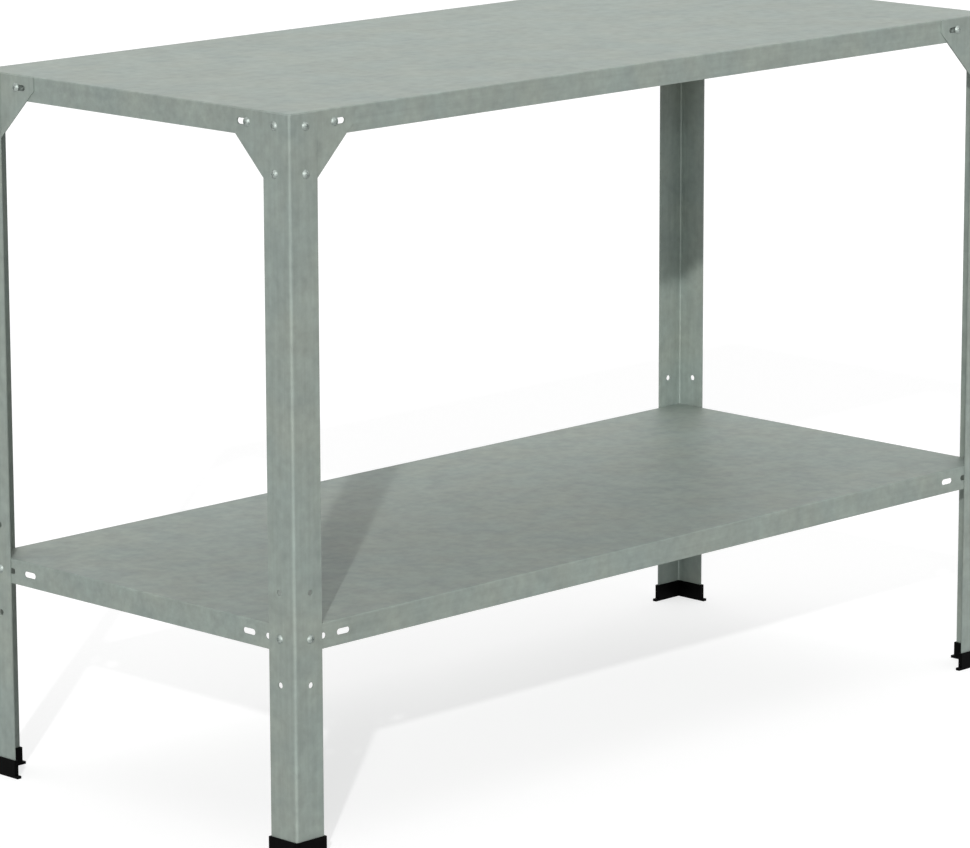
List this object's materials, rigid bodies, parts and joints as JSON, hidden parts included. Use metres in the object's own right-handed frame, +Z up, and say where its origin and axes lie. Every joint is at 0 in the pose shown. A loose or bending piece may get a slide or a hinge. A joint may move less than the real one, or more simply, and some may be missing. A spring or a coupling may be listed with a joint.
{
  "type": "potting bench",
  "caption": "Galvanised steel potting bench: a flat folded worktop and a lower shelf bolted into angle legs with corner gussets, on plastic feet.",
  "frame": {"origin": "on the floor, under the middle of the bench", "axes": "+X along the length, +Y from front to back, +Z up"},
  "size_m": [1.2064, 0.5314, 0.835],
  "materials": {
    "galvanised_steel": "satin galvanised",
    "zinc_fasteners": "bright zinc plated",
    "black_plastic": "moulded matt black"
  },
  "bodies": {
    "root": {"worktop": "galvanised_steel", "lower_shelf": "galvanised_steel", "front_left_leg": "galvanised_steel", "front_left_foot": "black_plastic", "front_left_long_gusset": "galvanised_steel", "front_left_end_gusset": "galvanised_steel", "front_left_top_bolts": "zinc_fasteners", "front_left_top_nuts": "zinc_fasteners", "front_left_shelf_bolts": "zinc_fasteners", "front_left_shelf_nuts": "zinc_fasteners", "front_right_leg": "galvanised_steel", "front_right_foot": "black_plastic", "front_right_long_gusset": "galvanised_steel", "front_right_end_gusset": "galvanised_steel", "front_right_top_bolts": "zinc_fasteners", "front_right_top_nuts": "zinc_fasteners", "front_right_shelf_bolts": "zinc_fasteners", "front_right_shelf_nuts": "zinc_fasteners", "back_left_leg": "galvanised_steel", "back_left_foot": "black_plastic", "back_left_long_gusset": "galvanised_steel", "back_left_end_gusset": "galvanised_steel", "back_left_top_bolts": "zinc_fasteners", "back_left_top_nuts": "zinc_fasteners", "back_left_shelf_bolts": "zinc_fasteners", "back_left_shelf_nuts": "zinc_fasteners", "back_right_leg": "galvanised_steel", "back_right_foot": "black_plastic", "back_right_long_gusset": "galvanised_steel", "back_right_end_gusset": "galvanised_steel", "back_right_top_bolts": "zinc_fasteners", "back_right_top_nuts": "zinc_fasteners", "back_right_shelf_bolts": "zinc_fasteners", "back_right_shelf_nuts": "zinc_fasteners"}
  },
  "joints": []
}
